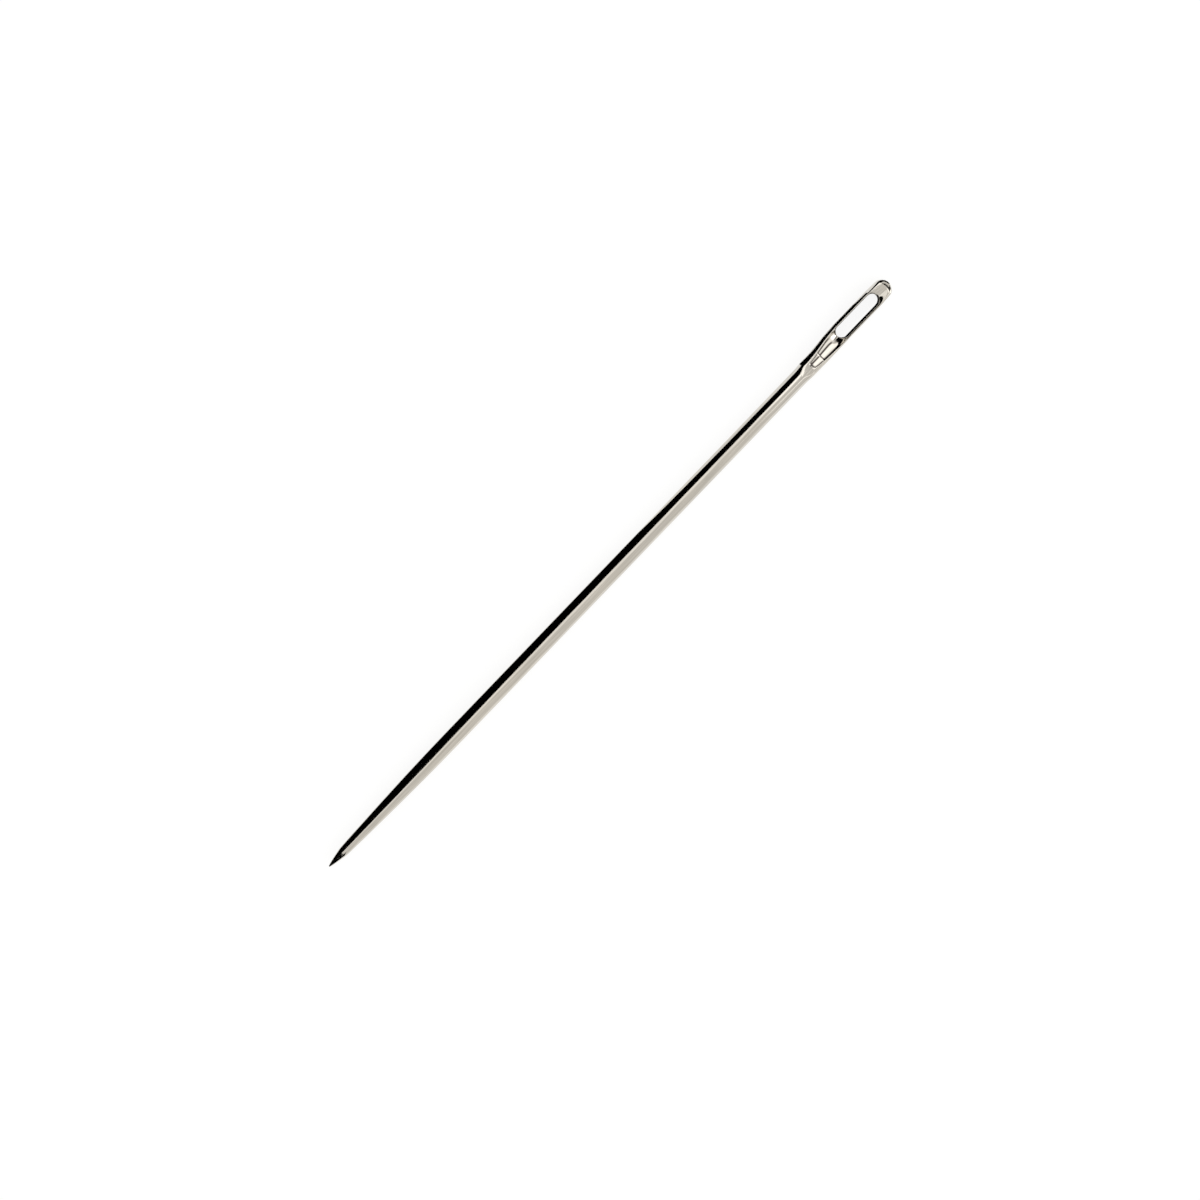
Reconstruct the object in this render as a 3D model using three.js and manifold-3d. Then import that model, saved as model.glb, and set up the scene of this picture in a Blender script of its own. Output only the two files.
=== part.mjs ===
// Between needle: a short hand-sewing needle made from one length of plated steel wire.
// Units are millimetres and +Z is up. The needle lies along X on its round shank, with its point
// towards -X and its eye towards +X. The eye opens upwards. The origin is on the surface that the
// needle lies on, under the middle of the needle.
//
// The wire is one piece. It is kept as six sections that meet face to face, so that each one is
// close to convex, a simulation follows the wire closely and the eye stays open to a thread.

import * as THREE from "three";
import { mergeVertices } from "three/addons/utils/BufferGeometryUtils.js";
import Module from "manifold-3d";

const wasm = await Module();
wasm.setup();

// Wire
const needleLength = 31.5;
const wireDiameter = 0.69;

// Point: a short ground cone, and behind it a long swell up to the full wire
const tipDiameter = 0.026;
const coneLength = 0.82;
const coneDiameter = 0.4;
const swellLength = 6.2;

// Head: the end of the wire, stamped flat and spread, a little to one side of the shank
const neckLength = 1.81;
const headWidth = 0.77;
const headThickness = 0.55;
const headCornerRadius = 0.03;
const headOffset = 0.06;

// Eye: a long slot with round ends and chamfered edges
const eyeLength = 2.25;
const eyeWidth = 0.55;
const eyeChamfer = 0.015;

// Crown: the rounded end over the eye, with edges that grow rounder towards the end
const crownLength = 0.7;
const crownRoundLength = 0.42;
const crownCornerRadius = 0.14;
const crownEndShare = 0.05;

// Gutters: V-shaped troughs pressed into both faces, which lead the thread into the eye.
// The neck's gutter has two panels, and the one by the eye is a step lower.
const gutterWidth = 0.54;
const gutterRise = 0.07;
const gutterRampLength = 0.12;
const neckGutterLength = 1.56;
const neckGutterEntryDepth = 0.09;
const neckGutterDepth = 0.13;
const farPanelLength = 0.56;
const farPanelDrop = 0.025;
const panelStepLength = 0.05;
const panelStepDepth = 0.022;
const crownGutterLength = 0.34;
const crownGutterDepth = 0.08;
const crownGutterEntryDepth = 0.05;

// Facets. The sides are a multiple of 4, so that a flat lies on top, underneath and on both sides.
const wireSides = 32;
const swellSteps = 12;
const neckSteps = 12;
const crownSteps = 8;
const eyeEndSteps = 12;

// How far a cutter stands out past the surface that it cuts
const cutterReach = 0.2;

const wireRadius = wireDiameter / 2;
const eyeRadius = eyeWidth / 2;
const pointLength = coneLength + swellLength;
const eyeFarEnd = needleLength - crownLength;
const eyeNearEnd = eyeFarEnd - eyeLength;
const neckStart = eyeNearEnd - neckLength;
const crownRoundStart = needleLength - crownRoundLength;
const sidesStart = eyeNearEnd + eyeRadius;
const sidesEnd = eyeFarEnd - eyeRadius;
const leftmost = Math.max(wireRadius, headOffset + headWidth / 2);
const rightmost = Math.min(-wireRadius, headOffset - headWidth / 2);

const wireSection = {
  halfWidth: wireRadius,
  halfHeight: wireRadius,
  cornerRadius: wireRadius,
  centreY: 0,
  centreZ: 0,
};

const headSection = {
  halfWidth: headWidth / 2,
  halfHeight: headThickness / 2,
  cornerRadius: headCornerRadius,
  centreY: headOffset,
  centreZ: 0,
};

// A round section of the given radius on the wire's axis
function roundSection(radius) {
  return { ...wireSection, halfWidth: radius, halfHeight: radius, cornerRadius: radius };
}

// A section part of the way from one section to another
function blendSections(from, to, share) {
  const blended = {};
  for (const key of Object.keys(from)) {
    blended[key] = THREE.MathUtils.lerp(from[key], to[key], share);
  }
  return blended;
}

// The head's section that far round the end of the crown
function crownSection(angle) {
  const share = Math.cos(angle);
  const halfWidth = headSection.halfWidth * share;
  const halfHeight = headSection.halfHeight * Math.sqrt(share);
  const rounding = THREE.MathUtils.lerp(headCornerRadius, crownCornerRadius, Math.sin(angle));
  const cornerRadius = Math.min(rounding, halfWidth, halfHeight);
  return { ...headSection, halfWidth, halfHeight, cornerRadius };
}

// A rounded rectangle across X. Points lie half a step off the axes, with flats at the full size.
function sectionRing(x, section) {
  const step = (2 * Math.PI) / wireSides;
  const cornerReach = section.cornerRadius / Math.cos(step / 2);
  const straightY = section.halfWidth - section.cornerRadius;
  const straightZ = section.halfHeight - section.cornerRadius;
  const ring = [];
  for (let i = 0; i < wireSides; i++) {
    const cos = Math.cos((i + 0.5) * step);
    const sin = Math.sin((i + 0.5) * step);
    const y = section.centreY + Math.sign(cos) * straightY + cornerReach * cos;
    const z = section.centreZ + Math.sign(sin) * straightZ + cornerReach * sin;
    ring.push(new THREE.Vector3(x, y, z));
  }
  return ring;
}

// The slot's outline at one height, grown outwards by the given amount
function eyeRing(z, growth) {
  const radius = eyeRadius + growth;
  const ring = [];
  for (const end of [1, -1]) {
    const centreX = end > 0 ? sidesEnd : sidesStart;
    for (let i = 0; i <= eyeEndSteps; i++) {
      const angle = Math.PI * (i / eyeEndSteps - 0.5);
      const x = centreX + end * radius * Math.cos(angle);
      const y = headOffset + end * radius * Math.sin(angle);
      ring.push(new THREE.Vector3(x, y, z));
    }
  }
  return ring;
}

// A closed solid through rings of points, which turn anticlockwise seen from the last ring's end
function loft(rings) {
  const sides = rings[0].length;
  const lastRing = (rings.length - 1) * sides;
  const index = [];
  for (let base = 0; base < lastRing; base += sides) {
    for (let i = 0; i < sides; i++) {
      const here = base + i;
      const next = base + ((i + 1) % sides);
      index.push(here, next, here + sides);
      index.push(next, next + sides, here + sides);
    }
  }
  for (let i = 1; i < sides - 1; i++) {
    index.push(0, i + 1, i);
    index.push(lastRing, lastRing + i, lastRing + i + 1);
  }
  const geometry = new THREE.BufferGeometry().setFromPoints(rings.flat());
  geometry.setIndex(index);
  const merged = mergeVertices(geometry);
  const vertProperties = merged.getAttribute("position").array;
  const triVerts = Uint32Array.from(merged.getIndex().array);
  return new wasm.Manifold(new wasm.Mesh({ numProp: 3, vertProperties, triVerts }));
}

// The ground cone and the swell behind it, up to the full wire
function pointRings() {
  const rings = [sectionRing(0, roundSection(tipDiameter / 2))];
  const coneRadius = coneDiameter / 2;
  for (let i = 0; i <= swellSteps; i++) {
    const share = i / swellSteps;
    const radius = THREE.MathUtils.lerp(coneRadius, wireRadius, Math.sin((share * Math.PI) / 2));
    rings.push(sectionRing(coneLength + share * swellLength, roundSection(radius)));
  }
  return rings;
}

// The neck, where the round wire spreads into the stamped head
function neckRings() {
  const rings = [];
  for (let i = 0; i <= neckSteps; i++) {
    const share = i / neckSteps;
    const section = blendSections(wireSection, headSection, THREE.MathUtils.smoothstep(share, 0, 1));
    rings.push(sectionRing(neckStart + share * neckLength, section));
  }
  return rings;
}

// The rounded end of the head, which shrinks along a quarter of an ellipse to a small end face
function crownRings() {
  const rings = [];
  for (let i = 0; i < crownSteps; i++) {
    const angle = (i / crownSteps) * (Math.PI / 2);
    const x = crownRoundStart + crownRoundLength * Math.sin(angle);
    rings.push(sectionRing(x, crownSection(angle)));
  }
  rings.push(sectionRing(needleLength, crownSection(Math.acos(crownEndShare))));
  return rings;
}

// The punch that opens the eye: straight through the head, and chamfered at both faces
function eyeCutter() {
  const straightHeight = headThickness / 2 - eyeChamfer;
  const cutterHeight = headThickness / 2 + cutterReach;
  const cutterGrowth = eyeChamfer + cutterReach;
  return loft([
    eyeRing(-cutterHeight, cutterGrowth),
    eyeRing(-straightHeight, 0),
    eyeRing(straightHeight, 0),
    eyeRing(cutterHeight, cutterGrowth),
  ]);
}

// One trough on the upper (1) or lower (-1) face, with its crease at the given heights along X
function gutterCutter(face, crease) {
  const left = headOffset + gutterWidth / 2;
  const right = headOffset - gutterWidth / 2;
  const top = wireRadius + gutterRise + cutterReach;
  const rings = crease.map(({ x, height }) => {
    const ring = [
      new THREE.Vector3(x, headOffset, face * height),
      new THREE.Vector3(x, left, face * (height + gutterRise)),
      new THREE.Vector3(x, left, face * top),
      new THREE.Vector3(x, right, face * top),
      new THREE.Vector3(x, right, face * (height + gutterRise)),
    ];
    return face > 0 ? ring : ring.reverse();
  });
  return loft(rings);
}

// The trough on the neck, from its ramp on the shank's side down to the eye
function neckGutter(face) {
  const start = eyeNearEnd - neckGutterLength;
  const entryHeight = wireRadius - neckGutterEntryDepth;
  const stepHeight = entryHeight - farPanelDrop;
  return gutterCutter(face, [
    { x: start, height: wireRadius },
    { x: start + gutterRampLength, height: entryHeight },
    { x: start + farPanelLength, height: stepHeight },
    { x: start + farPanelLength + panelStepLength, height: stepHeight - panelStepDepth },
    { x: eyeNearEnd + eyeRadius / 2, height: headThickness / 2 - neckGutterDepth },
  ]);
}

// The short trough on the crown, from the eye up to its ramp near the end
function crownGutter(face) {
  const end = eyeFarEnd + crownGutterLength;
  return gutterCutter(face, [
    { x: eyeFarEnd - eyeRadius / 2, height: headThickness / 2 - crownGutterDepth },
    { x: end - gutterRampLength, height: headThickness / 2 - crownGutterEntryDepth },
    { x: end, height: headThickness / 2 },
  ]);
}

// A named mesh of one section, with its own bright plated finish
function plated(name, body) {
  const { vertProperties, triVerts } = body.getMesh();
  const geometry = new THREE.BufferGeometry();
  geometry.setAttribute("position", new THREE.BufferAttribute(vertProperties, 3));
  geometry.setIndex(new THREE.BufferAttribute(triVerts, 1));
  geometry.computeVertexNormals();
  const material = new THREE.MeshStandardMaterial({ color: 0xbfb8a8, metalness: 1, roughness: 0.16 });
  const mesh = new THREE.Mesh(geometry, material);
  mesh.name = name;
  return mesh;
}

const eye = eyeCutter();
const sidesStartRing = sectionRing(sidesStart, headSection);
const sidesEndRing = sectionRing(sidesEnd, headSection);

// The plain round wire between the point and the neck
function shank() {
  return loft([sectionRing(pointLength, wireSection), sectionRing(neckStart, wireSection)]);
}

// The neck, up to where the eye's straight sides begin
function neck() {
  const spread = loft([...neckRings(), sidesStartRing]);
  return spread.subtract(eye).subtract(neckGutter(1)).subtract(neckGutter(-1));
}

// The two straight sides of the eye, the one towards +Y first
function eyeSides() {
  const sides = loft([sidesStartRing, sidesEndRing]).subtract(eye).decompose();
  return sides.sort((a, b) => b.boundingBox().max[1] - a.boundingBox().max[1]);
}

// The rounded end, from where the eye's straight sides stop
function crown() {
  const end = loft([sidesEndRing, ...crownRings()]);
  return end.subtract(eye).subtract(crownGutter(1)).subtract(crownGutter(-1));
}

const [leftSide, rightSide] = eyeSides();
const needle = new THREE.Group();
needle.add(plated("point", loft(pointRings())));
needle.add(plated("shank", shank()));
needle.add(plated("neck", neck()));
needle.add(plated("eye_side_left", leftSide));
needle.add(plated("eye_side_right", rightSide));
needle.add(plated("crown", crown()));
needle.position.set(-needleLength / 2, -(leftmost + rightmost) / 2, wireRadius);

export default needle;
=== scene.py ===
"""The between needle as one smooth plated piece, on a pale studio floor.

The needle is modelled in millimetres in the row frame, and turned into metres when its shape is
done.
"""

import logging
import math
from collections import defaultdict
from collections.abc import Callable
from dataclasses import dataclass
from enum import Enum, IntEnum

import bmesh
import bpy
from mathutils import Matrix, Vector


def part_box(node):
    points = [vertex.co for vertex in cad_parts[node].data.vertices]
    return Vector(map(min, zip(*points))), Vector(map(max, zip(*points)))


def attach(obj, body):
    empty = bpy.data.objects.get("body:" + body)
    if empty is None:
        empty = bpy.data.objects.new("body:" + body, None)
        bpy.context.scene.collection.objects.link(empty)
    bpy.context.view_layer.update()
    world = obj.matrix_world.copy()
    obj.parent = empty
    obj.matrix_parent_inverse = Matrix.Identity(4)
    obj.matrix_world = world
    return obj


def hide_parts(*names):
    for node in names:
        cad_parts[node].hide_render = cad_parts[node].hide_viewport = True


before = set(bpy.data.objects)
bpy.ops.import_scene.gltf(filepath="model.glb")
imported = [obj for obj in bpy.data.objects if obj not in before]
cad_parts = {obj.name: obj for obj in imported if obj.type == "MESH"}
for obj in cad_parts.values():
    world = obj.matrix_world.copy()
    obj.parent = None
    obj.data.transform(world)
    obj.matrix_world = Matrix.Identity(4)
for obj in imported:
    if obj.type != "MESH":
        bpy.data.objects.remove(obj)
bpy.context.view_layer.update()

LOG = logging.getLogger("between_needle")
MM_PER_M = 1000.0
BODY = "root"
STEEL_SLOT = "plated_steel"
# The attribute that darkens the metal's hollows: painted shade in the creases, which also stands
# for polish residue
HOLLOW_SHADE_ATTRIBUTE = "hollow_shade_and_residue"

# Points that move by the same amount, to this many digits, are drawn to their places together.
MOVE_DIGITS = 6

# In square metres: an edge under about 6 micrometres says little about how hollow a surface is.
LEAST_EDGE_SQUARED = 4e-11

# The values between which most of a noise texture lies
NOISE_RANGE = (0.3, 0.7)

# In millimetres: how high the black cards on the floor lie, and the one overhead
FLOOR_CARD_HEIGHT = 0.02
TOP_CARD_HEIGHT = 111.0

Pair = tuple[float, float]
Point = tuple[float, float, float]


class Column(IntEnum):
    """The lines of points that run along one quarter of the needle, from its side up to its top."""

    SIDE = 0
    SIDE_HIGH = 1
    EDGE_LOW = 2
    EDGE = 3
    EDGE_HIGH = 4
    SHOULDER = 5
    CHEEK = 6
    RIM = 7
    FOOT = 8
    PANEL_OUTER = 9
    PANEL_INNER = 10
    CREASE = 11


RAIL_COLUMNS = tuple(Column)[Column.EDGE : Column.RIM]
RIM_COLUMNS = tuple(Column)[Column.RIM :]
GUTTER_COLUMNS = tuple(Column)[Column.FOOT :]


class EyeEnd(Enum):
    """The two round ends of the eye, and which way each one bulges along the needle."""

    NECK = -1
    CROWN = 1


def mix(start: float, end: float, share: float) -> float:
    """Returns the value that share of the way from start to end."""
    return start + (end - start) * share


def smooth(share: float) -> float:
    """Returns the share eased at both ends, held between 0 and 1."""
    held = min(1.0, max(0.0, share))
    return held * held * (3.0 - 2.0 * held)


def box_mm(node: str) -> tuple[Vector, Vector]:
    """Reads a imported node's box.

    Args:
        node: The node's name.

    Returns:
        The lowest and highest corner, in millimetres.
    """
    low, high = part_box(node)
    return low * MM_PER_M, high * MM_PER_M


@dataclass(frozen=True)
class NeedleSizes:
    """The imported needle's own sizes, in millimetres in the row frame."""

    tip_x: float
    swell_end_x: float
    neck_start_x: float
    sides_start_x: float
    sides_end_x: float
    crown_end_x: float
    wire_y: float
    wire_z: float
    wire_radius: float
    head_y: float
    head_half_width: float
    head_half_height: float
    eye_half_width: float

    @classmethod
    def from_frame(cls) -> "NeedleSizes":
        """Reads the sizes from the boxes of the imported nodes.

        Returns:
            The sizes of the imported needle.
        """
        point_low, _ = box_mm("point")
        shank_low, shank_high = box_mm("shank")
        left_low, left_high = box_mm("eye_side_left")
        right_low, right_high = box_mm("eye_side_right")
        _, crown_high = box_mm("crown")
        return cls(
            tip_x=point_low.x,
            swell_end_x=shank_low.x,
            neck_start_x=shank_high.x,
            sides_start_x=left_low.x,
            sides_end_x=left_high.x,
            crown_end_x=crown_high.x,
            wire_y=(shank_low.y + shank_high.y) / 2,
            wire_z=(shank_low.z + shank_high.z) / 2,
            wire_radius=(shank_high.z - shank_low.z) / 2,
            head_y=(right_low.y + left_high.y) / 2,
            head_half_width=(left_high.y - right_low.y) / 2,
            head_half_height=(left_high.z - left_low.z) / 2,
            eye_half_width=(left_low.y - right_high.y) / 2,
        )

    @property
    def eye_near_x(self) -> float:
        """The end of the eye on the neck's side."""
        return self.sides_start_x - self.eye_half_width


@dataclass(frozen=True)
class Section:
    """A rounded rectangle across the needle."""

    half_width: float
    half_height: float
    corner_radius: float

    def height_at(self, out: float) -> float:
        """Finds how high the outline is.

        Args:
            out: A distance out from the middle.

        Returns:
            The outline's height there.
        """
        past = max(0.0, out - self.half_width + self.corner_radius)
        rise = math.sqrt(max(0.0, self.corner_radius**2 - past**2))
        return self.half_height - self.corner_radius + rise

    def width_at(self, up: float) -> float:
        """Finds how far out the outline is.

        Args:
            up: A height above the middle.

        Returns:
            The outline's distance out there.
        """
        past = max(0.0, up - self.half_height + self.corner_radius)
        reach = math.sqrt(max(0.0, self.corner_radius**2 - past**2))
        return self.half_width - self.corner_radius + reach

    def point_at(self, share: float) -> Pair:
        """Finds a point of the outline between its side and its top.

        Args:
            share: How far along the outline it lies, from 0 at the side to 1 at the top.

        Returns:
            Its distance out from the middle, and its height.
        """
        radius = self.corner_radius
        side, top = self.half_height - radius, self.half_width - radius
        bend = radius * math.pi / 2
        run = share * (side + bend + top)
        if run <= side:
            return self.half_width, run
        if run >= side + bend:
            return top - (run - side - bend), self.half_height
        turn = (run - side) / radius
        return top + radius * math.cos(turn), side + radius * math.sin(turn)


@dataclass(frozen=True)
class Ring:
    """One ring of the needle's cage, given by a quarter of its points.

    A point holds its place along the needle, its distance out from the ring's middle, and its
    height above that middle. The other three quarters mirror it.
    """

    middle_y: float
    points: tuple[Point, ...]

    def mixed(self, other: "Ring", share: float) -> "Ring":
        """Mixes this ring with another.

        Args:
            other: The ring at share 1.
            share: How far to go towards it.

        Returns:
            The ring in between.
        """
        points = tuple(
            tuple(mix(a, b, share) for a, b in zip(mine, theirs))
            for mine, theirs in zip(self.points, other.points)
        )
        return Ring(mix(self.middle_y, other.middle_y, share), points)

    def moved(self, changes: dict[Column, Point]) -> "Ring":
        """Puts some of the ring's points elsewhere.

        Args:
            changes: The new point of each column that moves.

        Returns:
            The changed ring.
        """
        points = (changes.get(Column(i), point) for i, point in enumerate(self.points))
        return Ring(self.middle_y, tuple(points))


@dataclass(frozen=True)
class EyeCurve:
    """A line of points round one end of the eye, from its side to its middle.

    It runs a margin outside the eye's wall. Each point has a place round the end, in degrees, and a
    height above the needle's middle.
    """

    end: EyeEnd
    margin: float
    angles: tuple[float, ...]
    heights: tuple[float, ...]


class RingModeller:
    """Draws a cage out of one circle, ring by ring, in edit mode."""

    def __init__(self, name: str, first: Ring, radius: float, wire_z: float) -> None:
        """Adds the circle that the cage starts from.

        Args:
            name: The name of the piece.
            first: The first ring, which is round.
            radius: The first ring's radius.
            wire_z: The height of the needle's middle.
        """
        self.ring = first
        self.wire_z = wire_z
        middle = (first.points[Column.SIDE][0], first.middle_y, wire_z)
        sides = 4 * len(Column)
        bpy.ops.object.select_all(action="DESELECT")
        bpy.ops.mesh.primitive_circle_add(
            vertices=sides,
            radius=radius,
            fill_type="NGON",
            location=middle,
            rotation=(0.0, math.pi / 2, 0.0),
        )
        self.piece = bpy.context.object
        self.piece.name = name
        self.piece.data.name = name
        bpy.ops.object.transform_apply(location=True, rotation=True, scale=True)
        bpy.ops.object.mode_set(mode="EDIT")
        bpy.ops.mesh.select_mode(type="VERT")
        bpy.ops.mesh.select_all(action="SELECT")
        bpy.ops.transform.rotate(value=math.pi / sides, orient_axis="X", center_override=middle)

    def _bmesh(self) -> bmesh.types.BMesh:
        """Opens the mesh in edit mode.

        Returns:
            The mesh, with its points in a list.
        """
        mesh = bmesh.from_edit_mesh(self.piece.data)
        mesh.verts.ensure_lookup_table()
        return mesh

    def _select(self, numbers: list[int]) -> None:
        """Selects these points, and nothing else.

        Args:
            numbers: The points' numbers.
        """
        bpy.ops.mesh.select_all(action="DESELECT")
        mesh = self._bmesh()
        for number in numbers:
            mesh.verts[number].select_set(True)
        mesh.select_flush(True)
        bmesh.update_edit_mesh(self.piece.data)

    def _columns(self, middle_y: float) -> dict[Column, list[int]]:
        """Sorts the selected points, fresh from the last ring, into columns.

        Args:
            middle_y: The middle of the ring that they become.

        Returns:
            The four points of each column, by number.
        """
        columns = defaultdict(list)
        mesh = self._bmesh()
        mesh.verts.index_update()
        for vertex in mesh.verts:
            if vertex.select:
                out, up = abs(vertex.co.y - middle_y), abs(vertex.co.z - self.wire_z)
                apart = [math.hypot(out - point[1], up - point[2]) for point in self.ring.points]
                columns[Column(apart.index(min(apart)))].append(vertex.index)
        return columns

    def lay(self, ring: Ring) -> dict[Column, list[int]]:
        """Extrudes the end to the next ring, and draws each column of it to its place.

        Args:
            ring: The next ring.

        Returns:
            The four points of each column of the ring, by number.
        """
        step = ring.points[Column.SIDE][0] - self.ring.points[Column.SIDE][0]
        offset = (step, ring.middle_y - self.ring.middle_y, 0.0)
        bpy.ops.mesh.extrude_region_move(TRANSFORM_OT_translate={"value": offset})
        columns = self._columns(ring.middle_y)
        moves = defaultdict(list)
        for column, numbers in columns.items():
            old, new = self.ring.points[column], ring.points[column]
            draw = (new[1] / old[1], new[2] / old[2], new[0] - old[0] - step)
            moves[tuple(round(value, MOVE_DIGITS) for value in draw)] += numbers
        centre = (ring.points[Column.SIDE][0], ring.middle_y, self.wire_z)
        for (wider, taller, along), numbers in moves.items():
            self._select(numbers)
            bpy.ops.transform.resize(value=(1.0, wider, taller), center_override=centre)
            if along:
                bpy.ops.transform.translate(value=(along, 0.0, 0.0))
        self._select([number for numbers in columns.values() for number in numbers])
        self.ring = ring
        return columns

    def slide(self, numbers: list[int], sideways: float) -> None:
        """Slides some points across the needle.

        Args:
            numbers: The points' numbers.
            sideways: How far they go towards the needle's left.
        """
        self._select(numbers)
        bpy.ops.transform.translate(value=(0.0, sideways, 0.0))

    def open_through(self, inside: Callable[[Vector], bool], cuts: int) -> None:
        """Opens a hole through the cage, and joins its upper and lower edge by a wall.

        Args:
            inside: Tells whether a face's middle lies in the hole.
            cuts: How many rings of points the wall gets.
        """
        bpy.ops.mesh.select_all(action="DESELECT")
        bpy.ops.mesh.select_mode(type="FACE")
        for face in self._bmesh().faces:
            face.select_set(inside(face.calc_center_median()))
        bmesh.update_edit_mesh(self.piece.data)
        bpy.ops.mesh.delete(type="FACE")
        bpy.ops.mesh.select_mode(type="EDGE")
        bpy.ops.mesh.select_non_manifold(extend=False)
        bpy.ops.mesh.bridge_edge_loops(number_cuts=cuts, interpolation="LINEAR")
        bpy.ops.mesh.select_all(action="SELECT")
        bpy.ops.mesh.normals_make_consistent(inside=False)

    def finish(self, levels: int) -> bpy.types.Object:
        """Smooths the cage and turns it into metres.

        Args:
            levels: How often the cage is subdivided.

        Returns:
            The finished piece, at the origin.
        """
        bpy.ops.object.mode_set(mode="OBJECT")
        rounding = self.piece.modifiers.new("Rounding", "SUBSURF")
        rounding.levels = levels
        rounding.render_levels = levels
        bpy.ops.object.modifier_apply(modifier=rounding.name)
        self.piece.scale = (1 / MM_PER_M,) * 3
        bpy.ops.object.transform_apply(location=True, rotation=True, scale=True)
        bpy.ops.object.shade_smooth()
        return self.piece


@dataclass(frozen=True)
class NodeBench:
    """A material's node tree, and the ways in which its nodes are joined here."""

    tree: bpy.types.NodeTree

    def noise(self, scale: Point, detail: float) -> bpy.types.NodeSocket:
        """Adds noise in object coordinates.

        Args:
            scale: Features per metre along each axis.
            detail: How many finer layers it has.

        Returns:
            The noise's value.
        """
        coordinates = self.tree.nodes.new("ShaderNodeTexCoord")
        mapping = self.tree.nodes.new("ShaderNodeMapping")
        mapping.inputs["Scale"].default_value = scale
        texture = self.tree.nodes.new("ShaderNodeTexNoise")
        texture.inputs["Scale"].default_value = 1.0
        texture.inputs["Detail"].default_value = detail
        self.tree.links.new(coordinates.outputs["Object"], mapping.inputs["Vector"])
        self.tree.links.new(mapping.outputs["Vector"], texture.inputs["Vector"])
        return texture.outputs["Fac"]

    def attribute(self, name: str) -> bpy.types.NodeSocket:
        """Reads a value that is stored on the mesh.

        Args:
            name: The attribute's name.

        Returns:
            Its value.
        """
        reader = self.tree.nodes.new("ShaderNodeAttribute")
        reader.attribute_name = name
        return reader.outputs["Fac"]

    def spread(
        self, value: bpy.types.NodeSocket, source: Pair, target: Pair
    ) -> bpy.types.NodeSocket:
        """Spreads one range of a value over another range, and holds it there.

        Args:
            value: The value.
            source: The range that it comes from.
            target: The range that it goes to.

        Returns:
            The new value.
        """
        spreader = self.tree.nodes.new("ShaderNodeMapRange")
        names = ("From Min", "From Max", "To Min", "To Max")
        for name, limit in zip(names, source + target):
            spreader.inputs[name].default_value = limit
        self.tree.links.new(value, spreader.inputs["Value"])
        return spreader.outputs["Result"]

    def between(
        self, first: bpy.types.NodeSocket, second: bpy.types.NodeSocket, share: float
    ) -> bpy.types.NodeSocket:
        """Mixes two values evenly all over.

        Args:
            first: The value at share 0.
            second: The value at share 1.
            share: How much of the second it holds.

        Returns:
            The mixed value.
        """
        mixer = self.tree.nodes.new("ShaderNodeMix")
        mixer.data_type = "FLOAT"
        mixer.inputs["Factor"].default_value = share
        self.tree.links.new(first, mixer.inputs["A"])
        self.tree.links.new(second, mixer.inputs["B"])
        return mixer.outputs["Result"]

    def tinted(
        self, base: bpy.types.NodeSocket | Point, tint: Point, share: bpy.types.NodeSocket
    ) -> bpy.types.NodeSocket:
        """Lays one colour over another.

        Args:
            base: The colour below, the same all over or from other nodes.
            tint: The colour on top.
            share: How much of the top colour shows.

        Returns:
            The mixed colour.
        """
        mixer = self.tree.nodes.new("ShaderNodeMix")
        mixer.data_type = "RGBA"
        mixer.inputs["B"].default_value = (*tint, 1.0)
        self.tree.links.new(share, mixer.inputs["Factor"])
        if isinstance(base, tuple):
            mixer.inputs["A"].default_value = (*base, 1.0)
        else:
            self.tree.links.new(base, mixer.inputs["A"])
        return mixer.outputs["Result"]

    def brightened(
        self, colour: bpy.types.NodeSocket, amount: bpy.types.NodeSocket
    ) -> bpy.types.NodeSocket:
        """Makes a colour brighter or darker.

        Args:
            colour: The colour.
            amount: How many times as bright it becomes.

        Returns:
            The new colour.
        """
        scaler = self.tree.nodes.new("ShaderNodeVectorMath")
        scaler.operation = "SCALE"
        self.tree.links.new(colour, scaler.inputs["Vector"])
        self.tree.links.new(amount, scaler.inputs["Scale"])
        return scaler.outputs["Vector"]

    def worked_out(
        self, operation: str, first: bpy.types.NodeSocket, second: bpy.types.NodeSocket | float
    ) -> bpy.types.NodeSocket:
        """Works out one value from two.

        Args:
            operation: The sum's name in Blender.
            first: The first value.
            second: The second value, from other nodes or a number.

        Returns:
            The result.
        """
        worker = self.tree.nodes.new("ShaderNodeMath")
        worker.operation = operation
        self.tree.links.new(first, worker.inputs[0])
        if isinstance(second, float):
            worker.inputs[1].default_value = second
        else:
            self.tree.links.new(second, worker.inputs[1])
        return worker.outputs[0]


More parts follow.
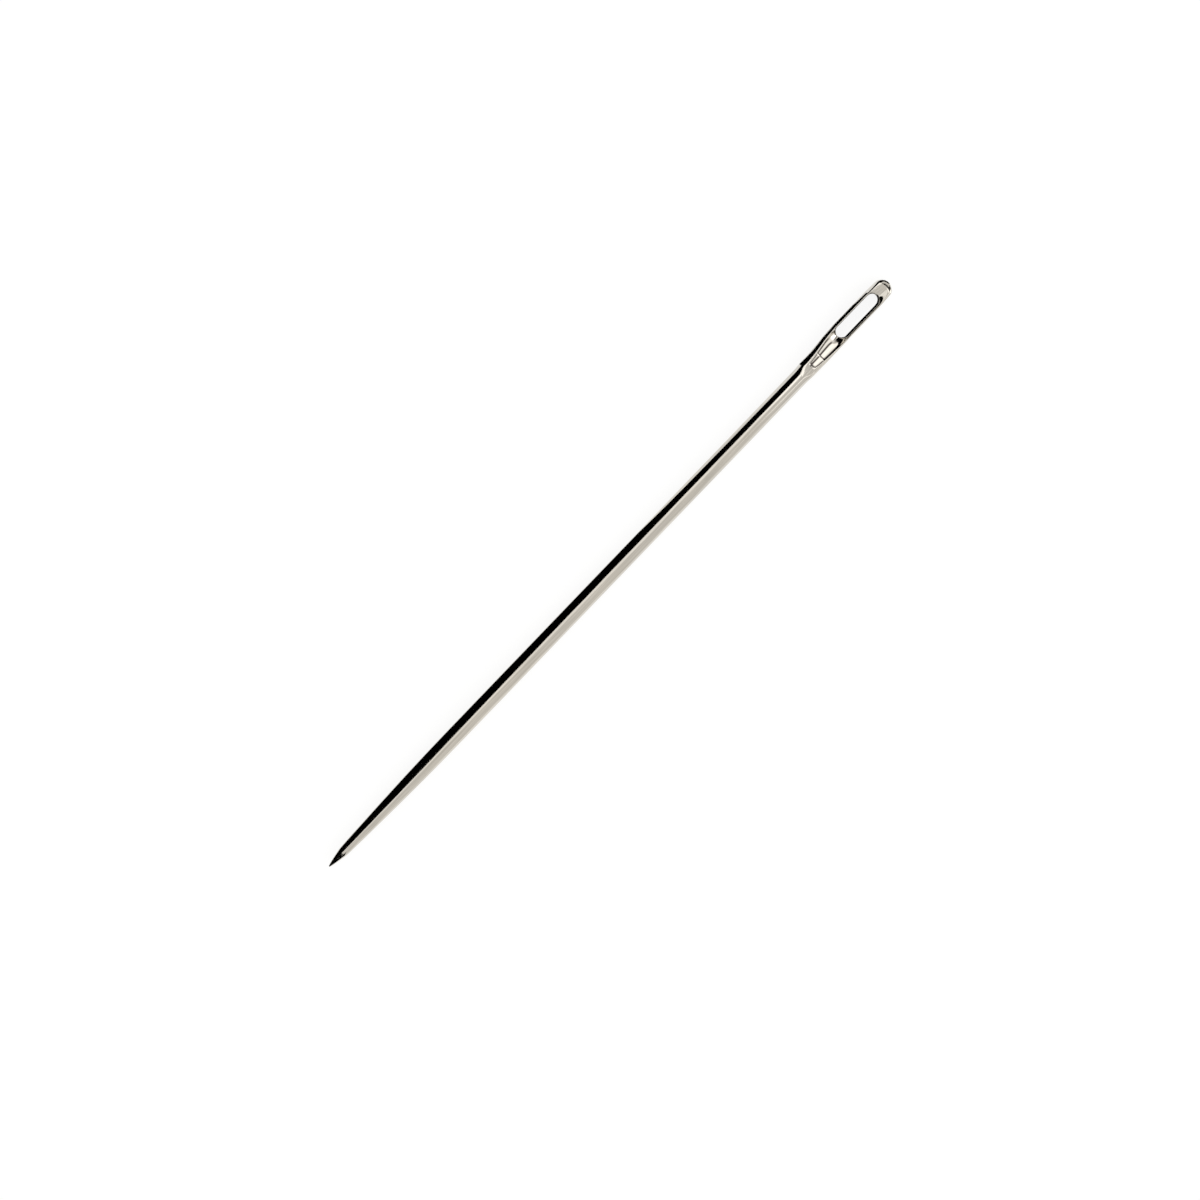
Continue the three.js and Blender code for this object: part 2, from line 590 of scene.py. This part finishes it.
@dataclass(frozen=True)
class PlatedSteel:
    """Bright nickel plate over steel, polished along the wire."""

    warm: Point = (0.66, 0.61, 0.53)
    cool: Point = (0.62, 0.60, 0.56)
    tint_scale: Point = (160.0, 900.0, 900.0)
    tint_detail: float = 2.0
    # Painted shade: the dark colour laid into the hollows, which also stands for polish residue
    hollow_shade_and_residue: Point = (0.07, 0.06, 0.055)
    streak_scale: Point = (500.0, 26000.0, 26000.0)
    streak_detail: float = 3.0
    streak_depth: float = 6e-7
    line_brightness: Pair = (0.86, 1.14)
    haze_scale: Point = (260.0, 1800.0, 1800.0)
    haze_detail: float = 2.0
    haze_share: float = 0.35
    roughness: Pair = (0.05, 0.12)
    pit: Point = (0.47, 0.43, 0.37)
    pit_scale: Point = (24000.0, 34000.0, 34000.0)
    pit_detail: float = 1.0
    pit_range: Pair = (0.72, 0.8)

    def material(self) -> bpy.types.Material:
        """Makes the material.

        Returns:
            A node material in object coordinates.
        """
        made = bpy.data.materials.new(STEEL_SLOT)
        made.use_nodes = True
        nodes, links = made.node_tree.nodes, made.node_tree.links
        bench = NodeBench(made.node_tree)
        streaks = bench.noise(self.streak_scale, self.streak_detail)
        pits = bench.spread(
            bench.noise(self.pit_scale, self.pit_detail), self.pit_range, (0.0, 1.0)
        )
        plate = bench.tinted(self.warm, self.cool, bench.noise(self.tint_scale, self.tint_detail))
        # Painted shade in the hollows, which also stands for polish residue
        plate = bench.tinted(plate, self.hollow_shade_and_residue, bench.attribute(HOLLOW_SHADE_ATTRIBUTE))
        plate = bench.brightened(plate, bench.spread(streaks, NOISE_RANGE, self.line_brightness))
        plate = bench.tinted(plate, self.pit, pits)
        haze = bench.noise(self.haze_scale, self.haze_detail)
        polish = bench.between(streaks, haze, self.haze_share)
        relief = nodes.new("ShaderNodeBump")
        relief.inputs["Distance"].default_value = self.streak_depth
        links.new(bench.worked_out("SUBTRACT", streaks, pits), relief.inputs["Height"])
        shader = nodes["Principled BSDF"]
        shader.inputs["Metallic"].default_value = 1.0
        links.new(plate, shader.inputs["Base Color"])
        links.new(bench.spread(polish, NOISE_RANGE, self.roughness), shader.inputs["Roughness"])
        links.new(relief.outputs["Normal"], shader.inputs["Normal"])
        return made


@dataclass(frozen=True)
class Needle:
    """The whole needle: point, shank, neck, stamped head with its eye, and crown."""

    sizes: NeedleSizes
    finish: PlatedSteel
    levels: int = 2

    # Point and shank: a rounded tip, a ground cone, a long swell and the plain wire
    tip_radius: float = 0.015
    tip_round_length: float = 0.01
    cone_start_radius: float = 0.027
    cone_fullness: float = 0.8
    cone_length: float = 0.82
    cone_radius: float = 0.2
    ridge_half_length: float = 0.07
    cone_steps: int = 4
    swell_steps: int = 10
    shank_steps: int = 9

    # Neck: the wire is pressed a little, and then spreads into the head. The places of its first
    # rings are given from the neck's start.
    neck_places: tuple[float, ...] = (-0.32, -0.22, -0.12, -0.03, 0.06, 0.14)
    press_lead: float = 0.3
    press_length: float = 0.5
    press_depth: float = 0.045
    neck_edge_radius: float = 0.13
    spread_delay: float = 0.46

    # Gutter: its crease as distances from its start and heights, and its columns as shares of its
    # rim, each with its lean towards the needle's left
    gutter_length: float = 1.56
    gutter_lead: float = 0.03
    gutter_slope: float = 0.26
    gutter_rim_start: float = 0.15
    gutter_rim_end: float = 0.325
    gutter_edge: float = 0.025
    gutter_shares: tuple[float, ...] = (0.87, 0.66, 0.2, 0.05)
    gutter_leans: tuple[float, ...] = (0.004, 0.016, 0.045, 0.045)
    gutter_crease: tuple[Pair, ...] = (
        (0.03, 0.296),
        (0.08, 0.26),
        (0.13, 0.246),
        (0.30, 0.237),
        (0.48, 0.2285),
        (0.54, 0.2255),
        (0.56, 0.223),
        (0.59, 0.206),
        (0.61, 0.204),
        (0.67, 0.2005),
        (0.85, 0.191),
        (1.05, 0.179),
        (1.17, 0.171),
    )

    # Lip, where the gutter runs down into the eye
    lip_length: float = 0.32
    lip_crease: float = 0.168
    lip_nose: float = 0.045
    lip_sharpness: float = 1.8

    # Head: columns as shares of its half height up to the edge, and of its half width after it.
    # The eye's two rails have points as shares of their width and drops from their top.
    edge_radius: float = 0.08
    head_shares: tuple[float, ...] = (
        *(0.1, 0.3, 0.5, 0.74, 0.9),
        *(0.93, 0.86, 0.7, 0.53, 0.37, 0.22, 0.07),
    )
    rail_points: tuple[Pair, ...] = ((0.96, 0.09), (0.87, 0.045), (0.68, 0.01), (0.42, 0.0))
    rail_margin: float = 0.06
    rim_width: float = 0.055
    sides_steps: int = 6
    wall_cuts: int = 3
    near_rim: EyeCurve = EyeCurve(
        EyeEnd.NECK, 0.1, (56.0, 44.0, 32.0, 19.5, 6.5), (0.235, 0.165, 0.143, 0.121, 0.1)
    )
    near_wall: EyeCurve = EyeCurve(
        EyeEnd.NECK, 0.0, (88.0, 68.0, 48.0, 29.0, 10.0), (0.205, 0.125, 0.1, 0.08, 0.062)
    )
    far_wall: EyeCurve = EyeCurve(
        EyeEnd.CROWN, 0.0, (88.0, 68.0, 48.0, 29.0, 10.0), (0.22, 0.2, 0.18, 0.155, 0.15)
    )
    far_rim: EyeCurve = EyeCurve(
        EyeEnd.CROWN, 0.055, (76.0, 60.0, 43.0, 26.0, 9.0), (0.273, 0.2555, 0.231, 0.206, 0.196)
    )
    blend_shares: tuple[float, ...] = (0.35, 0.7)

    # Crown: rings at angles round the end, with columns as shares of the outline
    crown_round_length: float = 0.42
    crown_corner_radius: float = 0.14
    crown_height_power: float = 0.75
    crown_shares: tuple[float, ...] = (
        *(0.044, 0.132, 0.22, 0.32, 0.39, 0.43),
        *(0.48, 0.57, 0.674, 0.772, 0.865, 0.957),
    )
    crown_gutter_angle: float = 20.0
    crown_gutter_sinks: tuple[float, ...] = (0.003, 0.008, 0.018, 0.022)
    crown_angles: tuple[float, ...] = (29.0, 41.0, 54.0, 65.0, 75.0, 82.0, 86.5, 89.0)

    # Painted shade in the hollows, which also stands for polish residue: how hollow the metal is
    # where it starts, and how much more where it is full. Hollow is the mean rise of the nearby
    # points over their distance squared, per millimetre. The last value is the length over which
    # the lip is kept clear of it.
    hollow_shade_start: float = 0.28
    hollow_shade_rise: float = 0.28
    hollow_shade_softenings: int = 2
    lip_clear_length: float = 0.12

    @property
    def wire(self) -> Section:
        """The round wire's section."""
        radius = self.sizes.wire_radius
        return Section(radius, radius, radius)

    @property
    def head(self) -> Section:
        """The stamped head's section."""
        return Section(self.sizes.head_half_width, self.sizes.head_half_height, self.edge_radius)

    @property
    def gutter_start_x(self) -> float:
        """The end of the neck's gutter on the shank's side."""
        return self.sizes.eye_near_x - self.gutter_length

    @property
    def lip_start_x(self) -> float:
        """The place where the lip of the eye begins."""
        return self.sizes.eye_near_x - self.lip_length

    def _ring(self, x: float, section: Section, middle_y: float, headed: float) -> Ring:
        """Sets a ring's points round a section.

        Args:
            x: The ring's place along the needle.
            section: The needle's section there.
            middle_y: The section's middle.
            headed: 0 for points spread as on the round wire, 1 for points spread as on the head.

        Returns:
            The ring.
        """
        points = []
        for column in Column:
            angle = (column + 0.5) * math.pi / 2 / len(Column)
            share = self.head_shares[column]
            if column < Column.SHOULDER:
                up = section.half_height * mix(math.sin(angle), share, headed)
                points.append((x, section.width_at(up), up))
            else:
                out = section.half_width * mix(math.cos(angle), share, headed)
                points.append((x, out, section.height_at(out)))
        return Ring(middle_y, tuple(points))

    def _round_ring(self, x: float, radius: float) -> Ring:
        """Sets a round ring on the wire's axis.

        Args:
            x: The ring's place along the needle.
            radius: The needle's radius there.

        Returns:
            The ring, a little larger, because smoothing draws it in.
        """
        step = math.pi / 2 / len(Column)
        # Smoothing weighs a point four times, and its two neighbours once each.
        grown = radius * 6 / (4 + 2 * math.cos(step))
        return self._ring(x, Section(grown, grown, grown), self.sizes.wire_y, 0.0)

    def _point_rings(self) -> list[Ring]:
        """Sets the rings of the ground cone and of the swell behind it.

        Returns:
            The rings after the first one.
        """
        tip_x, ridge = self.sizes.tip_x, self.ridge_half_length
        rings = [self._round_ring(tip_x + self.tip_round_length, self.cone_start_radius)]
        cone_end = self.cone_length - ridge
        for step in range(1, self.cone_steps + 1):
            along = mix(self.tip_round_length, cone_end, step / self.cone_steps)
            share = (along - self.tip_round_length) / (self.cone_length - self.tip_round_length)
            radius = mix(self.cone_start_radius, self.cone_radius, share**self.cone_fullness)
            rings.append(self._round_ring(tip_x + along, radius))
        swell_length = self.sizes.swell_end_x - tip_x - self.cone_length
        for step in range(self.swell_steps + 1):
            share = mix(ridge / swell_length, 1.0, step / self.swell_steps)
            radius = mix(self.cone_radius, self.sizes.wire_radius, math.sin(share * math.pi / 2))
            rings.append(self._round_ring(tip_x + self.cone_length + share * swell_length, radius))
        return rings

    def _shank_rings(self) -> list[Ring]:
        """Sets the rings of the plain wire.

        Returns:
            The rings after the swell.
        """
        start, end = self.sizes.swell_end_x, self.sizes.neck_start_x
        places = [mix(start, end, step / self.shank_steps) for step in range(1, self.shank_steps)]
        return [self._round_ring(x, self.sizes.wire_radius) for x in places]

    def _neck_section(self, x: float) -> tuple[Section, float, float]:
        """Finds the neck's section.

        Args:
            x: A place along the neck.

        Returns:
            The section, its middle and how far it has become the head.
        """
        sizes = self.sizes
        along = min(1.0, (x - sizes.neck_start_x) / (sizes.eye_near_x - sizes.neck_start_x))
        share = smooth(along)
        spread_start = sizes.neck_start_x + self.spread_delay
        spread_length = sizes.sides_start_x - self.rim_width - spread_start
        spread = smooth((x - spread_start) / spread_length)
        pressed = smooth((x - sizes.neck_start_x + self.press_lead) / self.press_length)
        height = self.wire.half_height - self.press_depth * pressed
        radius = mix(self.wire.corner_radius, self.neck_edge_radius, pressed)
        section = Section(
            mix(self.wire.half_width, self.head.half_width, spread),
            mix(height, self.head.half_height, share),
            mix(radius, self.head.corner_radius, share),
        )
        return section, mix(sizes.wire_y, sizes.head_y, spread), share

    def _gutter_ring(self, x: float, crease: float | None) -> Ring:
        """Sets a ring of the neck that crosses the gutter.

        Args:
            x: The ring's place along the needle.
            crease: The height of the gutter's crease, or None where the gutter has not begun.

        Returns:
            The ring.
        """
        section, middle_y, share = self._neck_section(x)
        along = (x - self.sizes.eye_near_x) / self.gutter_length + 1.0
        rim = mix(self.gutter_rim_start, self.gutter_rim_end, along)
        changes = {}
        for column, part in zip(GUTTER_COLUMNS, self.gutter_shares):
            out = part * rim
            top = section.height_at(out)
            sunk = top if crease is None else crease + self.gutter_slope * out
            changes[column] = (x, out, min(sunk, top))
        changes[Column.RIM] = (x, rim, section.height_at(rim))
        cheek = rim + self.gutter_edge
        changes[Column.CHEEK] = (x, cheek, section.height_at(cheek))
        return self._ring(x, section, middle_y, share).moved(changes)

    def _neck_rings(self) -> list[Ring]:
        """Sets the rings of the neck.

        Returns:
            The rings after the shank, up to the lip of the eye.
        """
        rings = []
        for place in self.neck_places:
            x = self.sizes.neck_start_x + place
            section, middle_y, share = self._neck_section(x)
            rings.append(self._ring(x, section, middle_y, share))
        start = self.gutter_start_x
        rings += [self._gutter_ring(start - self.gutter_lead, None), self._gutter_ring(start, None)]
        return rings + [self._gutter_ring(start + along, up) for along, up in self.gutter_crease]

    def _in_eye(self, place: Vector) -> bool:
        """Tells whether a place lies in the eye's outline, seen from above.

        Args:
            place: A place in millimetres.

        Returns:
            True inside the eye.
        """
        sizes = self.sizes
        round_share = 1.0 - ((place.y - sizes.head_y) / sizes.eye_half_width) ** 2
        if round_share <= 0.0:
            return False
        nose = sizes.eye_half_width - self.lip_nose
        near = sizes.sides_start_x - nose * round_share ** (self.lip_sharpness / 2)
        far = sizes.sides_end_x + sizes.eye_half_width * math.sqrt(round_share)
        return near < place.x < far

    def _eye_ring(self, curve: EyeCurve) -> Ring:
        """Sets a ring that runs round one end of the eye.

        Args:
            curve: The line that the ring's upper points follow.

        Returns:
            The ring.
        """
        sizes = self.sizes
        near = curve.end is EyeEnd.NECK
        centre = sizes.sides_start_x if near else sizes.sides_end_x
        if curve.margin > 0.0:
            ring = self._ring(centre, self.head, sizes.head_y, 1.0)
        else:
            ring = self._rail_ring(centre - curve.end.value * self.rail_margin)
        reach = sizes.eye_half_width + curve.margin
        bulge, sharpness = (reach - self.lip_nose, self.lip_sharpness) if near else (reach, 1.0)
        changes = {}
        for column, angle, height in zip(RIM_COLUMNS, curve.angles, curve.heights):
            turn = math.radians(angle)
            along = centre + curve.end.value * bulge * math.cos(turn) ** sharpness
            changes[column] = (along, reach * math.sin(turn), height)
        return ring.moved(changes)

    def _rail_ring(self, x: float) -> Ring:
        """Sets a ring across the eye's two narrow sides, which are ridged on top.

        Args:
            x: The ring's place along the needle.

        Returns:
            The ring.
        """
        sizes = self.sizes
        ring = self._ring(x, self.head, sizes.head_y, 1.0)
        wall_top = sizes.head_half_height - self.rim_width
        changes = {}
        for column, (share, drop) in zip(RAIL_COLUMNS, self.rail_points):
            out = mix(sizes.eye_half_width, sizes.head_half_width, share)
            changes[column] = (x, out, sizes.head_half_height - drop)
        for column in GUTTER_COLUMNS:
            changes[column] = (x, ring.points[column][1], wall_top)
        changes[Column.RIM] = (x, sizes.eye_half_width, wall_top)
        return ring.moved(changes)

    def _side_rings(self) -> list[Ring]:
        """Sets the rings along the eye's straight sides.

        Returns:
            The rings between the eye's two round ends.
        """
        start = self.sizes.sides_start_x + self.rail_margin
        end = self.sizes.sides_end_x - self.rail_margin
        places = [mix(start, end, step / self.sides_steps) for step in range(1, self.sides_steps)]
        return [self._rail_ring(x) for x in places]

    def _crown_ring(self, angle: float) -> Ring:
        """Sets a ring of the rounded end.

        Args:
            angle: How far round the end it lies, in degrees.

        Returns:
            The ring.
        """
        turn = math.radians(angle)
        shrink = math.cos(turn)
        x = self.sizes.crown_end_x - self.crown_round_length * (1 - math.sin(turn))
        half_width = self.head.half_width * shrink
        half_height = self.head.half_height * shrink**self.crown_height_power
        rounding = mix(self.head.corner_radius, self.crown_corner_radius, math.sin(turn))
        section = Section(half_width, half_height, min(rounding, half_width, half_height))
        points = ((x, *section.point_at(share)) for share in self.crown_shares)
        return Ring(self.sizes.head_y, tuple(points))

    def _head_rings(self) -> list[Ring]:
        """Sets the rings of the eye and the crown.

        Returns:
            The rings after the neck.
        """
        panel = self._gutter_ring(self.lip_start_x, self.lip_crease)
        near_rim, far_rim = self._eye_ring(self.near_rim), self._eye_ring(self.far_rim)
        gutter_end = self._crown_ring(self.crown_gutter_angle)
        changes = {}
        for column, sink in zip(GUTTER_COLUMNS, self.crown_gutter_sinks):
            x, out, up = gutter_end.points[column]
            changes[column] = (x, out, up - sink)
        gutter_end = gutter_end.moved(changes)
        rings = [panel.mixed(near_rim, share) for share in self.blend_shares]
        rings += [near_rim, self._eye_ring(self.near_wall)]
        rings += self._side_rings()
        rings += [self._eye_ring(self.far_wall), far_rim]
        rings += [far_rim.mixed(gutter_end, share) for share in self.blend_shares]
        return rings + [gutter_end] + [self._crown_ring(angle) for angle in self.crown_angles]

    def _paint_hollow_shade(self, piece: bpy.types.Object) -> None:
        """Marks the painted shade in the neck's hollows, which also stands for polish residue, and
        keeps it off the lip that thread wipes.

        Args:
            piece: The finished needle.
        """
        mesh = bmesh.new()
        mesh.from_mesh(piece.data)
        mesh.verts.ensure_lookup_table()
        amounts = []
        for vertex in mesh.verts:
            leans = []
            for edge in vertex.link_edges:
                away = edge.other_vert(vertex).co - vertex.co
                leans.append(vertex.normal.dot(away) / max(away.length_squared, LEAST_EDGE_SQUARED))
            hollow = sum(leans) / len(leans) / MM_PER_M
            full = min(1.0, max(0.0, (hollow - self.hollow_shade_start) / self.hollow_shade_rise))
            past_lip = vertex.co.x * MM_PER_M - self.lip_start_x
            amounts.append((1.0 - smooth(past_lip / self.lip_clear_length)) * full)
        for _ in range(self.hollow_shade_softenings):
            softened = []
            for vertex in mesh.verts:
                near = [amounts[edge.other_vert(vertex).index] for edge in vertex.link_edges]
                softened.append((amounts[vertex.index] + sum(near) / len(near)) / 2)
            amounts = softened
        mesh.free()
        attribute = piece.data.attributes.new(HOLLOW_SHADE_ATTRIBUTE, "FLOAT", "POINT")
        attribute.data.foreach_set("value", amounts)

    def build(self) -> bpy.types.Object:
        """Models and dresses the needle.

        Returns:
            The needle.
        """
        first = self._round_ring(self.sizes.tip_x, self.tip_radius)
        radius = math.hypot(*first.points[Column.SIDE][1:])
        modeller = RingModeller("needle", first, radius, self.sizes.wire_z)
        for ring in self._point_rings() + self._shank_rings():
            modeller.lay(ring)
        gutter = defaultdict(list)
        for ring in self._neck_rings():
            for column, numbers in modeller.lay(ring).items():
                if ring.points[column][0] > self.gutter_start_x:
                    gutter[column] += numbers
        for ring in self._head_rings():
            modeller.lay(ring)
        for column, lean in zip(GUTTER_COLUMNS, self.gutter_leans):
            modeller.slide(gutter[column], lean)
        modeller.open_through(self._in_eye, self.wall_cuts)
        piece = modeller.finish(self.levels)
        self._paint_hollow_shade(piece)
        piece.data.materials.clear()
        piece.data.materials.append(self.finish.material())
        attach(piece, BODY)
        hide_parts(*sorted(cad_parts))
        return piece


@dataclass(frozen=True)
class Floor:
    """A wide pale floor, white to the eye and to what mirrors it."""

    half_width: float = 1.0
    albedo: float = 0.2
    glow: float = 0.83

    def _material(self) -> bpy.types.Material:
        """Makes the floor's material.

        Returns:
            Pale paint that takes a shadow, and a glow for the camera and for mirrors.
        """
        made = bpy.data.materials.new("pale_floor")
        made.use_nodes = True
        nodes, links = made.node_tree.nodes, made.node_tree.links
        nodes.clear()
        bench = NodeBench(made.node_tree)
        path = nodes.new("ShaderNodeLightPath").outputs
        seen = bench.worked_out("MAXIMUM", path["Is Camera Ray"], path["Is Glossy Ray"])
        seen = bench.worked_out("MAXIMUM", seen, path["Is Transmission Ray"])
        paint = nodes.new("ShaderNodeBsdfDiffuse")
        paint.inputs["Color"].default_value = (self.albedo, self.albedo, self.albedo, 1.0)
        light = nodes.new("ShaderNodeEmission")
        links.new(bench.worked_out("MULTIPLY", seen, self.glow), light.inputs["Strength"])
        both = nodes.new("ShaderNodeAddShader")
        links.new(paint.outputs[0], both.inputs[0])
        links.new(light.outputs[0], both.inputs[1])
        output = nodes.new("ShaderNodeOutputMaterial")
        links.new(both.outputs[0], output.inputs["Surface"])
        return made

    def build(self) -> bpy.types.Object:
        """Lays the floor under the needle.

        Returns:
            The floor.
        """
        bpy.ops.object.select_all(action="DESELECT")
        bpy.ops.mesh.primitive_plane_add(size=2 * self.half_width)
        floor = bpy.context.object
        floor.name = "floor"
        floor.data.materials.append(self._material())
        return floor


@dataclass(frozen=True)
class Flag:
    """A black studio card that polished metal mirrors, given by its corners in millimetres."""

    name: str
    corners: tuple[Point, ...]

    @classmethod
    def level(cls, name: str, height: float, outline: tuple[Pair, ...]) -> "Flag":
        """Gives a level card.

        Args:
            name: The card's name.
            height: Its height over the floor.
            outline: Its corners, seen from above.

        Returns:
            The card.
        """
        return cls(name, tuple((x, y, height) for x, y in outline))

    @classmethod
    def upright(cls, name: str, start: Pair, end: Pair, height: float) -> "Flag":
        """Gives a card that stands on the floor.

        Args:
            name: The card's name.
            start: One end of its lower edge.
            end: The other end.
            height: Its height.

        Returns:
            The card.
        """
        return cls(name, ((*start, 0.0), (*end, 0.0), (*end, height), (*start, height)))

    def build(self, black: bpy.types.Material) -> bpy.types.Object:
        """Puts the card up.

        Args:
            black: The card's material.

        Returns:
            The card.
        """
        mesh = bpy.data.meshes.new(self.name)
        corners = [Vector(corner) / MM_PER_M for corner in self.corners]
        mesh.from_pydata(corners, [], [range(len(corners))])
        card = bpy.data.objects.new(self.name, mesh)
        bpy.context.scene.collection.objects.link(card)
        mesh.materials.append(black)
        card.visible_camera = False
        card.visible_diffuse = False
        card.visible_shadow = False
        return card


@dataclass(frozen=True)
class SoftBox:
    """A soft lamp that hangs level or is turned towards the needle, in millimetres."""

    name: str
    place: Point
    size: Pair
    radiance: float
    turned: bool

    def build(self) -> bpy.types.Object:
        """Hangs the lamp.

        Returns:
            The lamp.
        """
        width, depth = (size / MM_PER_M for size in self.size)
        light = bpy.data.lights.new(self.name, "AREA")
        light.shape = "RECTANGLE"
        light.size = width
        light.size_y = depth
        light.energy = self.radiance * math.pi * width * depth
        lamp = bpy.data.objects.new(self.name, light)
        lamp.location = Vector(self.place) / MM_PER_M
        if self.turned:
            lamp.rotation_euler = Vector(self.place).to_track_quat("Z", "Y").to_euler()
        lamp.visible_camera = False
        bpy.context.scene.collection.objects.link(lamp)
        return lamp


@dataclass(frozen=True)
class Studio:
    """Even pale light all round, soft overhead boxes, and black cards for the metal to mirror."""

    sky: Point = (1.0, 0.985, 0.955)
    sky_strength: float = 0.8
    boxes: tuple[SoftBox, ...] = (
        SoftBox("head_box", (55.0, 45.0, 150.0), (78.0, 71.0), 0.8, False),
        SoftBox("long_box", (-70.0, 45.0, 150.0), (200.0, 80.0), 0.33, False),
        SoftBox("ramp_box", (65.0, -8.0, 150.0), (66.0, 36.0), 0.8, False),
        SoftBox("right_box", (58.0, -82.0, 112.0), (86.0, 60.0), 0.6, True),
        SoftBox("end_box", (104.0, -85.0, 48.0), (90.0, 90.0), 1.4, True),
    )
    flags: tuple[Flag, ...] = (
        Flag.upright("side_flag", (-140.0, 60.0), (140.0, 60.0), TOP_CARD_HEIGHT),
        Flag.level(
            "ground_flag",
            FLOOR_CARD_HEIGHT,
            (
                *((-60.0, 0.47), (2.0, 0.47), (7.0, 2.6), (10.92, 3.0)),
                *((11.06, 0.34), (11.6, 0.36), (12.3, 0.41), (12.9, 0.45)),
                *((14.15, 0.45), (14.4, 0.475), (14.86, 0.49), (14.98, 1.0)),
                *((15.04, 3.0), (15.1, 3.0), (15.45, 0.6), (15.8, 0.2)),
                *((16.0, -0.2), (60.0, -8.0), (60.0, 60.0), (-60.0, 60.0)),
            ),
        ),
        Flag.level(
            "eye_flag",
            FLOOR_CARD_HEIGHT,
            ((12.7, -0.245), (15.05, -0.245), (15.05, 0.26), (12.7, 0.26)),
        ),
        Flag.level(
            "point_flag_top",
            TOP_CARD_HEIGHT,
            (
                *((-5.0, 60.0), (-10.4, 46.0), (-16.0, 33.0)),
                *((-19.0, 27.0), (-100.0, 27.0), (-100.0, 60.0)),
            ),
        ),
        Flag.upright("point_flag_end", (-27.0, -19.0), (-27.0, 19.0), 33.0),
        Flag.upright("point_flag_right", (-30.0, -11.4), (-17.7, -11.4), 14.0),
        Flag.upright("crown_flag_left", (75.0, 14.0), (75.0, 100.0), 97.0),
        Flag.upright("crown_flag_right", (75.0, -36.0), (75.0, -15.0), 105.0),
    )

    def build(self) -> None:
        """Lights the scene."""
        world = bpy.data.worlds.new("studio")
        world.use_nodes = True
        background = world.node_tree.nodes["Background"]
        background.inputs["Color"].default_value = (*self.sky, 1.0)
        background.inputs["Strength"].default_value = self.sky_strength
        bpy.context.scene.world = world
        black = bpy.data.materials.new("black_card")
        black.use_nodes = True
        shader = black.node_tree.nodes["Principled BSDF"]
        shader.inputs["Base Color"].default_value = (0.0, 0.0, 0.0, 1.0)
        shader.inputs["Specular IOR Level"].default_value = 0.0
        for flag in self.flags:
            flag.build(black)
        for box in self.boxes:
            box.build()


@dataclass(frozen=True)
class PhotoCamera:
    """The photograph's view: from above, a little from the needle's left."""

    sizes: NeedleSizes
    lens: float = 200.0
    sensor: float = 36.0
    picture: float = 1200.0
    pixels_per_mm: float = 25.68
    roll: float = 12.0
    slope: float = 46.13
    middle: Pair = (609.4, 574.9)
    nearest: float = 0.001
    farthest: float = 10.0

    def build(self) -> bpy.types.Object:
        """Places the camera.

        Returns:
            The scene's camera.
        """
        roll, slope = math.radians(self.roll), math.radians(self.slope)
        back = Vector((0.0, math.sin(roll), math.cos(roll)))
        along = Vector((1.0, 0.0, 0.0))
        across = back.cross(along)
        right = math.cos(slope) * along - math.sin(slope) * across
        up = math.sin(slope) * along + math.cos(slope) * across
        shift_right = (self.middle[0] - self.picture / 2) / self.pixels_per_mm
        shift_up = (self.picture / 2 - self.middle[1]) / self.pixels_per_mm
        half = (self.sizes.tip_x + self.sizes.crown_end_x) / 2
        needle = Vector((half, self.sizes.wire_y, self.sizes.wire_z))
        target = needle - shift_right * right - shift_up * up
        distance = self.lens * self.picture / self.pixels_per_mm / self.sensor
        data = bpy.data.cameras.new("photo_camera")
        data.lens = self.lens
        data.sensor_width = self.sensor
        data.clip_start = self.nearest
        data.clip_end = self.farthest
        camera = bpy.data.objects.new("photo_camera", data)
        turn = Matrix((right, up, back)).transposed().to_4x4()
        camera.matrix_world = Matrix.Translation((target + distance * back) / MM_PER_M) @ turn
        bpy.context.scene.collection.objects.link(camera)
        bpy.context.scene.camera = camera
        return camera


def main() -> None:
    """Builds the scene's pieces in order."""
    logging.basicConfig(level=logging.INFO, format="%(name)s: %(message)s")
    bpy.context.scene.view_settings.view_transform = "Standard"
    sizes = NeedleSizes.from_frame()
    camera = PhotoCamera(sizes).build()
    LOG.info("camera at %s", tuple(round(v, 4) for v in camera.location))
    needle = Needle(sizes, PlatedSteel()).build()
    LOG.info("%s: %d faces", needle.name, len(needle.data.polygons))
    floor = Floor().build()
    LOG.info("%s laid", floor.name)
    Studio().build()
    LOG.info("studio lit")


if __name__ == "__main__":
    main()
